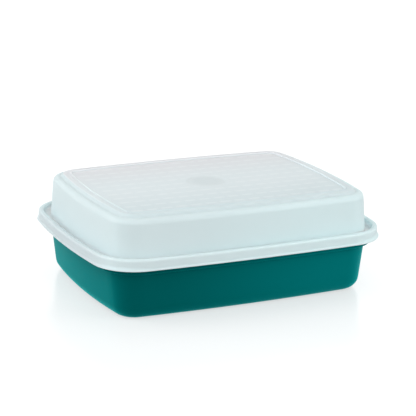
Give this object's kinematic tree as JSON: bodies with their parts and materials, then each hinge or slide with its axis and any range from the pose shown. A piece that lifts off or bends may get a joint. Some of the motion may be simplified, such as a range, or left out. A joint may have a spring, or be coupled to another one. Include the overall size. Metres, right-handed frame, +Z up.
{
  "type": "marinating container",
  "caption": "Shallow rectangular marinating container: a moulded tray under a sheer domed cover, with a sealing rim and ribs inside both halves.",
  "frame": {"origin": "middle of the ring that the tray stands on, in the plane of the surface under it", "axes": "+X along the container's length, +Y across it towards the back, +Z up"},
  "size_m": [0.3452, 0.2642, 0.1135],
  "materials": {
    "tray_plastic": "satin moulded polypropylene, deep teal",
    "cover_plastic": "sheer frosted polyethylene, cool white"
  },
  "bodies": {
    "tray_body": {"tray": "tray_plastic"},
    "cover_body": {"cover": "cover_plastic"}
  },
  "joints": [
    {"name": "cover_lift", "type": "slide", "parent": "tray_body", "child": "cover_body", "axis": [0, 0, 1], "range_m": [0, 0.12]}
  ]
}
